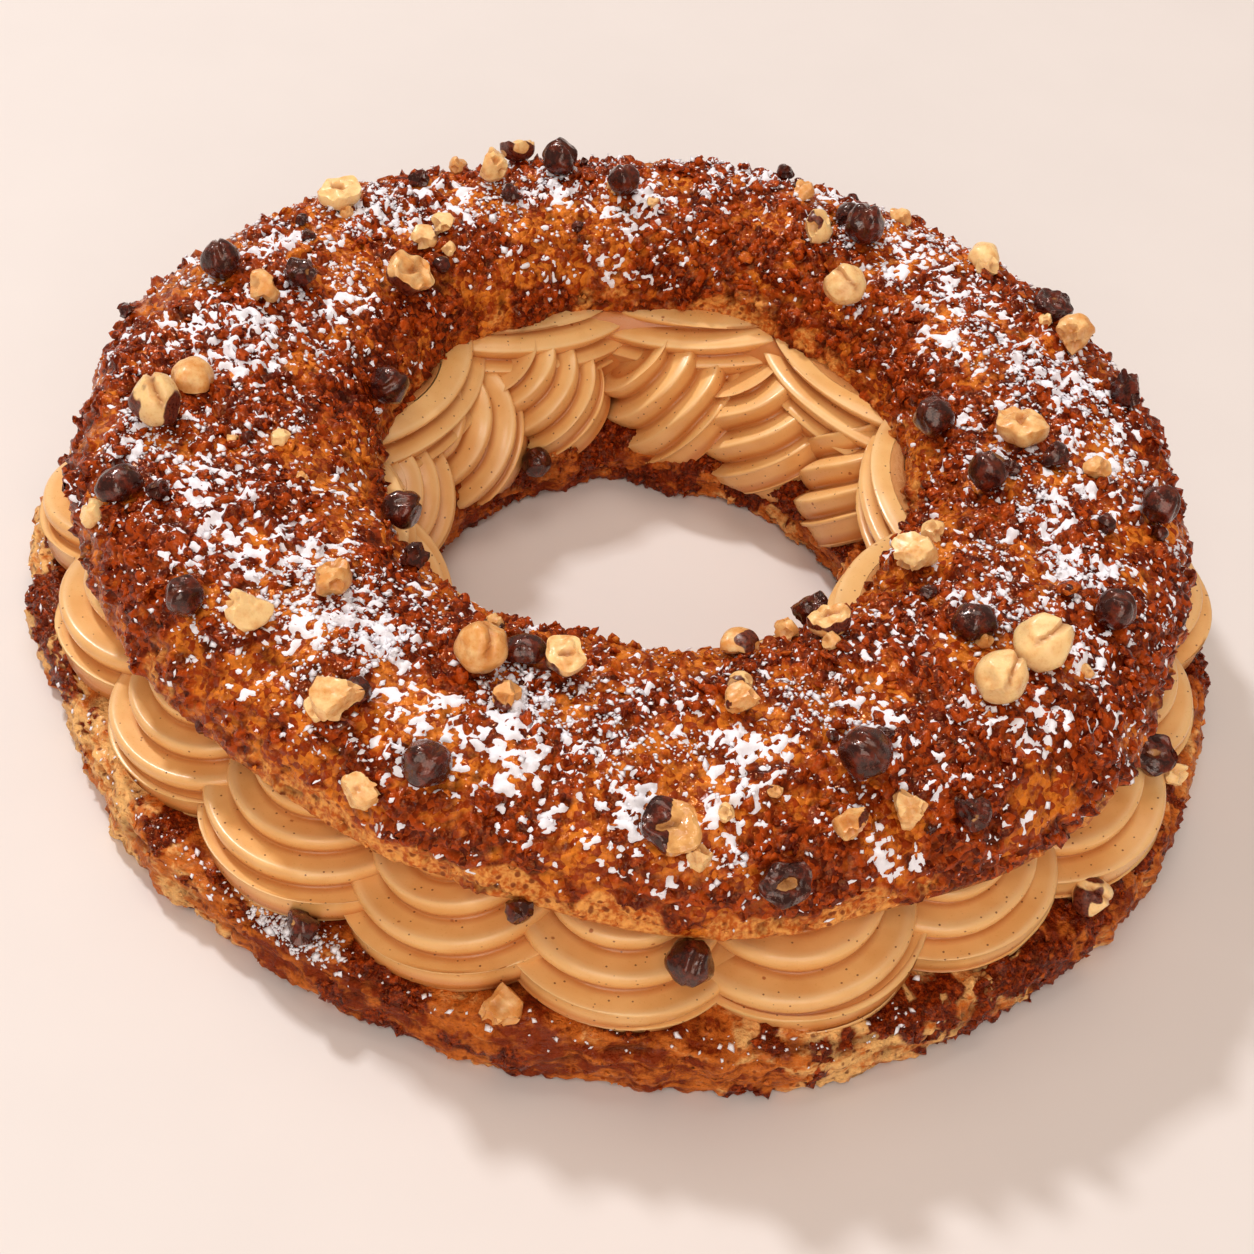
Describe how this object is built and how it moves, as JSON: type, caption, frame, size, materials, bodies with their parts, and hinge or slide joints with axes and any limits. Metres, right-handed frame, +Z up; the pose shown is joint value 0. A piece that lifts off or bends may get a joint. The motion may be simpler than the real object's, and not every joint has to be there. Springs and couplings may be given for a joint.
{
  "type": "paris brest pastry",
  "caption": "Ring of baked choux split in two, filled with piped praline cream and topped with chopped hazelnuts and icing sugar.",
  "frame": {"origin": "centre of the bounding box, on the plane of the flat underside", "axes": "+Z up through the hole of the ring; -Y toward the side seen in front"},
  "size_m": [0.2652, 0.255, 0.0709],
  "materials": {
    "baked_choux": "dry baked crust, golden with caramelised patches",
    "praline_cream": "soft satin cream with fine dark specks",
    "caramelised_choux": "rough caramelised crumb crust, glossy in spots",
    "blanched_hazelnut": "satin, toasted",
    "roasted_hazelnut": "dark glossy skin"
  },
  "bodies": {
    "root": {"choux_base": "baked_choux", "praline_cream": "praline_cream", "choux_lid": "caramelised_choux", "hazelnut_01": "blanched_hazelnut", "hazelnut_02": "blanched_hazelnut", "hazelnut_03": "blanched_hazelnut", "hazelnut_04": "roasted_hazelnut", "hazelnut_05": "roasted_hazelnut", "hazelnut_06": "blanched_hazelnut", "hazelnut_07": "roasted_hazelnut", "hazelnut_08": "blanched_hazelnut", "hazelnut_09": "blanched_hazelnut", "hazelnut_10": "roasted_hazelnut", "hazelnut_11": "blanched_hazelnut", "hazelnut_12": "roasted_hazelnut", "hazelnut_13": "roasted_hazelnut", "hazelnut_14": "blanched_hazelnut", "hazelnut_15": "roasted_hazelnut", "hazelnut_16": "roasted_hazelnut", "hazelnut_17": "roasted_hazelnut", "hazelnut_18": "blanched_hazelnut", "hazelnut_19": "blanched_hazelnut", "hazelnut_20": "roasted_hazelnut", "hazelnut_21": "blanched_hazelnut", "hazelnut_22": "roasted_hazelnut", "hazelnut_23": "blanched_hazelnut", "hazelnut_24": "roasted_hazelnut", "hazelnut_25": "blanched_hazelnut", "hazelnut_26": "roasted_hazelnut", "hazelnut_27": "blanched_hazelnut", "hazelnut_28": "blanched_hazelnut", "hazelnut_29": "roasted_hazelnut", "hazelnut_30": "blanched_hazelnut", "hazelnut_31": "roasted_hazelnut", "hazelnut_32": "blanched_hazelnut", "hazelnut_33": "roasted_hazelnut", "hazelnut_34": "blanched_hazelnut", "hazelnut_35": "roasted_hazelnut", "hazelnut_36": "blanched_hazelnut", "hazelnut_37": "blanched_hazelnut", "hazelnut_38": "blanched_hazelnut", "hazelnut_39": "blanched_hazelnut", "hazelnut_40": "roasted_hazelnut", "hazelnut_41": "roasted_hazelnut", "hazelnut_42": "roasted_hazelnut", "hazelnut_43": "blanched_hazelnut", "hazelnut_44": "blanched_hazelnut", "hazelnut_45": "roasted_hazelnut", "hazelnut_46": "blanched_hazelnut", "hazelnut_47": "roasted_hazelnut", "hazelnut_48": "roasted_hazelnut", "hazelnut_49": "blanched_hazelnut", "hazelnut_50": "roasted_hazelnut", "hazelnut_51": "blanched_hazelnut", "hazelnut_52": "roasted_hazelnut", "hazelnut_53": "blanched_hazelnut", "hazelnut_54": "blanched_hazelnut", "hazelnut_55": "roasted_hazelnut", "hazelnut_56": "roasted_hazelnut"}
  },
  "joints": []
}
